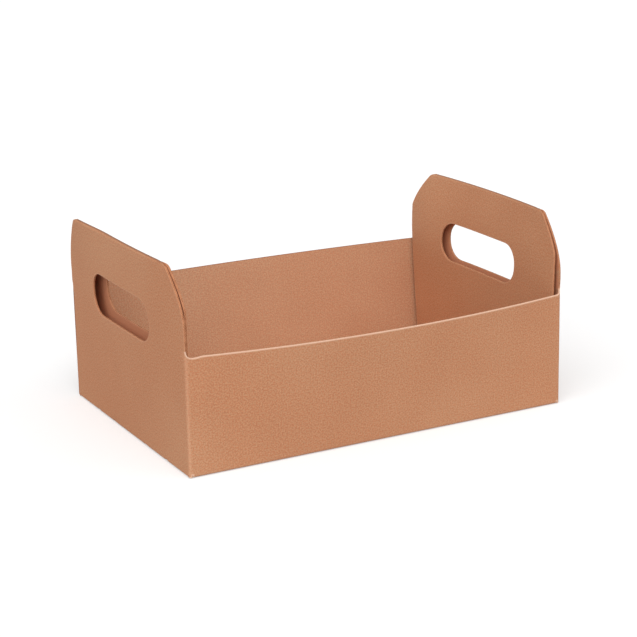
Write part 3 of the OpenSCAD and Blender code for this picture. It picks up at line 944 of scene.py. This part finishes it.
def raw_edge(board):
    """Cut edge of the board: two paper liners with the waved fluting between them"""
    material, n = bare_material("raw_cut_edge")
    edge = n.node("ShaderNodeUVMap", {"uv_map": "sheet"})
    along, depth, _ = n.parts(edge)
    rim, thick = n.attribute("rim"), board.thickness
    core = linear(board.cut_core)
    # Painted highlight with wear: the front rim's cut edge turns pale
    paper = n.mixed(rim.from_to(0.5, 1.0) * 0.75, linear(board.cut_edge), linear(board.pale_wear_and_highlight))

    wander = n.noise(edge, 90) * 2.0
    wave = (along * (2 * math.pi / board.flute_pitch) + wander).sine() * (WAVE_HEIGHT * thick)
    off_middle = depth - thick / 2
    waved = 1 - abs(off_middle - wave).from_to(*(share * thick for share in WAVE_PAPER))
    solid = waved.at_least(abs(off_middle).from_to(*(share * thick for share in LINER_PAPER)))
    crushed = n.noise(edge, 260).from_to(0.42, 0.60)
    # Painted highlight: the flute hollows' shade weakens along the pale rims
    hollow = (1 - solid) * (0.35 + 0.45 * crushed) * (1 - 0.6 * rim.from_to(0.0, 1.0))
    grain = n.noise(edge, 1400, 3, 0.6)

    base = n.mixed(hollow, paper, core)
    # Painted shade: a dark line along the back wall's rim
    base = n.mixed(rim.from_to(0.0, -1.0) * 0.8, base, core)
    shade = 0.93 + 0.14 * grain
    base = n.times(base, n.point(shade, shade, shade))
    n.matt_surface(base, 0.9, 0.2, (grain * 0.4 - hollow, 0.5, 0.0001))
    return material


def spring_sizes(blank):
    """Inputs of the springing, by name"""
    walls, ends, board = blank.walls, blank.ends, blank.board
    return {
        "Half length": blank.half_length,
        "Half width": blank.half_width,
        "Wall height": walls.wall_height,
        "Bow": walls.wall_bow,
        "End height": ends.end_height,
        "Left lean": ends.left_lean,
        "Right lean": ends.right_lean,
        "Left bulge": ends.left_bulge,
        "Right bulge": ends.right_bulge,
        "Left curl": ends.left_curl,
        "Right curl": ends.right_curl,
        "Right tuck": ends.right_tuck,
        "Centre shift": centre_shift(ends),
        "Unevenness": board.unevenness,
        "Seed": float(board.seed),
    }


def springing(names):
    """Geometry nodes that spring the folded sheet: bowed long walls, leaning ends and panels out of true"""
    tree = bpy.data.node_groups.new("sprung_board", "GeometryNodeTree")
    face = tree.interface
    face.new_socket("Geometry", in_out="INPUT", socket_type="NodeSocketGeometry")
    for name in names:
        face.new_socket(name, in_out="INPUT", socket_type="NodeSocketFloat")
    face.new_socket("Liner", in_out="INPUT", socket_type="NodeSocketMaterial")
    face.new_socket("Cut edge", in_out="INPUT", socket_type="NodeSocketMaterial")
    face.new_socket("Geometry", in_out="OUTPUT", socket_type="NodeSocketGeometry")
    n = Nodes(tree)
    outputs = tree.nodes.new("NodeGroupInput").outputs
    given = {out.name: Value(n, out) for out in outputs if out.name}
    place = n.node("GeometryNodeInputPosition")
    x, y, z = n.parts(place)
    part = x / given["Half length"]
    across = y / given["Half width"]
    to_right = part * 0.5 + 0.5

    bulged = (1 - across * across).at_least(0.0)
    left, right = (given[side + " lean"] + given[side + " bulge"] * bulged for side in ("Left", "Right"))
    lean = (right * to_right - left * (1 - to_right)) * z / given["End height"]
    at_back = across.from_to(*BACK_CORNER)
    raised = (z / given["End height"] - CURL_START).at_least(0.0) / (1 - CURL_START)
    curl = to_right * (given["Right curl"] + given["Left curl"]) - given["Left curl"]
    tuck = to_right * given["Right tuck"] * (z / TUCK_HEIGHT).at_most(1.0)
    warp = at_back * (curl * raised * raised - tuck)

    middle = (1 - part * part).at_least(0.0)
    rise = (z / given["Wall height"]).at_most(1.0)
    swell = 1 + given["Bow"] / given["Half width"] * middle * rise
    wander = n.node("ShaderNodeTexNoise", {"noise_dimensions": "4D"},
                    {"Vector": place, "W": given["Seed"], "Scale": LOOSE_SCALE, "Detail": 1.0}, output=1)
    off_x, off_y, _ = n.parts(wander)
    loose = given["Unevenness"] * (z / LOOSE_HEIGHT).at_most(1.0)
    moved = n.point(x + lean + warp + given["Centre shift"] + (off_x - 0.5) * loose,
                    y * swell + (off_y - 0.5) * loose, z)
    board = n.node("GeometryNodeSetPosition", {}, {"Geometry": given["Geometry"], "Position": moved})
    board = n.node("GeometryNodeRealizeInstances", {}, {0: board})
    board = n.node("GeometryNodeSetMaterial", {}, {"Geometry": board, "Material": given["Liner"]})
    cut = n.node("GeometryNodeInputNamedAttribute", {"data_type": "BOOLEAN"}, {"Name": "cut_edge"})
    board = n.node("GeometryNodeSetMaterial", {},
                   {"Geometry": board, "Selection": cut, "Material": given["Cut edge"]})
    n.node("NodeGroupOutput", {}, {"Geometry": board})
    return tree


class TRAY_OT_fold_board(bpy.types.Operator):
    """Cut the sheet, fold it into the tray and spring its walls"""
    bl_idname = "board_tray.fold_board"
    bl_label = "Fold the board"

    def execute(self, context):
        scene = context.scene
        blank = Blank(scene)
        piece = bpy.data.objects.new("folded_board", folded_mesh(blank))
        scene.collection.objects.link(piece)
        values = spring_sizes(blank)
        tree = springing(list(values))
        values["Liner"] = kraft_liner(scene.board_finish, scene.paper_look)
        values["Cut edge"] = raw_edge(scene.board_finish)
        spring = piece.modifiers.new("Spring", "NODES")
        spring.node_group = tree
        for item in tree.interface.items_tree:
            if item.in_out == "INPUT" and item.name in values:
                spring[item.identifier] = values[item.name]
        context.view_layer.update()
        made = bpy.data.meshes.new_from_object(piece.evaluated_get(context.evaluated_depsgraph_get()))
        piece.modifiers.clear()
        piece.data = made
        made.name = "folded_board"
        if not made.polygons:
            raise RuntimeError("the folded board came out empty")
        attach(piece, "root")
        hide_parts("folded_tray")
        return {"FINISHED"}


class TRAY_OT_set_stage(bpy.types.Operator):
    """Lay the pale floor, light it softly and place the camera"""
    bl_idname = "board_tray.set_stage"
    bl_label = "Set the stage"

    def execute(self, context):
        scene, stage = context.scene, context.scene.stage_settings
        scene.view_settings.view_transform = "Standard"
        self.lay_floor(scene, stage)
        self.light(scene, stage)
        self.place_camera(scene, stage)
        return {"FINISHED"}

    def lay_floor(self, scene, stage):
        half, level = stage.floor_size / 2, -0.0004
        mesh = bpy.data.meshes.new("pale_floor")
        corners = ((-half, -half), (half, -half), (half, half), (-half, half))
        mesh.from_pydata([(x, y, level) for x, y in corners], [], [(0, 1, 2, 3)])
        floor = bpy.data.objects.new("pale_floor", mesh)
        scene.collection.objects.link(floor)
        material, n = bare_material("pale_floor")
        white = linear(stage.floor)
        shaded = tuple(c * stage.floor_shade for c in white[:3]) + (1.0,)
        matt = n.node("ShaderNodeBsdfDiffuse", {}, {"Color": linear(stage.floor_back)})
        thin = n.node("ShaderNodeBsdfDiffuse", {}, {"Color": shaded})
        glow = n.node("ShaderNodeEmission", {}, {"Color": white, "Strength": stage.floor_glow})
        seen = n.node("ShaderNodeAddShader", {}, {0: thin, 1: glow})
        either = n.node("ShaderNodeMixShader", {}, {0: n.seen_directly(), 1: matt, 2: seen})
        n.node("ShaderNodeOutputMaterial", {}, {0: either})
        mesh.materials.append(material)

    def light(self, scene, stage):
        world = bpy.data.worlds.new("even_sky")
        scene.world = world
        world.use_nodes = True
        n = Nodes(world.node_tree)
        strength = stage.sky + (1 - stage.sky) * n.seen_directly()
        sky = n.node("ShaderNodeBackground", {}, {"Color": (1, 1, 1, 1), "Strength": strength})
        n.node("ShaderNodeOutputWorld", {}, {0: sky})
        self.hang_lamp(scene, stage, "wide_soft_lamp", stage.key, stage.key_turn)
        self.hang_lamp(scene, stage, "fill_lamp", stage.fill, stage.fill_turn)

    def hang_lamp(self, scene, stage, name, energy, turn):
        lamp = bpy.data.lights.new(name, "SUN")
        lamp.energy, lamp.angle = energy, stage.lamp_spread
        holder = bpy.data.objects.new(name, lamp)
        level, rise = math.cos(stage.lamp_rise), math.sin(stage.lamp_rise)
        towards = Vector((-math.sin(turn) * level, -math.cos(turn) * level, rise))
        holder.rotation_euler = towards.to_track_quat("Z", "Y").to_euler()
        scene.collection.objects.link(holder)

    def place_camera(self, scene, stage):
        yaw, pitch = stage.yaw, stage.pitch
        level = math.cos(pitch)
        ahead = Vector((math.sin(yaw) * level, math.cos(yaw) * level, -math.sin(pitch)))
        right = Vector((math.cos(yaw), -math.sin(yaw), 0))
        up = right.cross(ahead)
        camera = bpy.data.cameras.new("camera")
        camera.lens, camera.sensor_width = stage.focal, 36
        camera.clip_start, camera.clip_end = 0.05, 50
        holder = bpy.data.objects.new("camera", camera)
        turn = Matrix((right, up, -ahead)).transposed()
        place = stage.right * right + stage.up * up - stage.distance * ahead
        place.x += centre_shift(scene.tray_ends)
        holder.matrix_world = Matrix.Translation(place) @ turn.to_4x4()
        scene.collection.objects.link(holder)
        scene.camera = holder


class TRAY_PT_sidebar(bpy.types.Panel):
    """Sizes, colours and steps of the tray"""
    bl_idname = "TRAY_PT_sidebar"
    bl_label = "Board tray"
    bl_space_type = "VIEW_3D"
    bl_region_type = "UI"
    bl_category = "Board tray"

    def draw(self, context):
        layout = self.layout
        for step in (TRAY_OT_fold_board, TRAY_OT_set_stage):
            layout.operator(step.bl_idname)
        for name, group in SETTINGS.items():
            box = layout.box()
            box.label(text=group.__doc__)
            for prop in group.__annotations__:
                box.prop(getattr(context.scene, name), prop)


SETTINGS = {
    "tray_walls": TrayWalls,
    "tray_ends": TrayEnds,
    "tray_cuts": TrayCuts,
    "board_finish": BoardFinish,
    "paper_look": PaperLook,
    "stage_settings": StageSettings,
}
CLASSES = tuple(SETTINGS.values()) + (TRAY_OT_fold_board, TRAY_OT_set_stage, TRAY_PT_sidebar)


def register():
    for item in CLASSES:
        bpy.utils.register_class(item)
    for name, group in SETTINGS.items():
        setattr(bpy.types.Scene, name, PointerProperty(type=group))


def unregister():
    for name in SETTINGS:
        delattr(bpy.types.Scene, name)
    for item in reversed(CLASSES):
        bpy.utils.unregister_class(item)


def main():
    register()
    bpy.ops.board_tray.fold_board()
    bpy.ops.board_tray.set_stage()


if __name__ == "__main__":
    main()
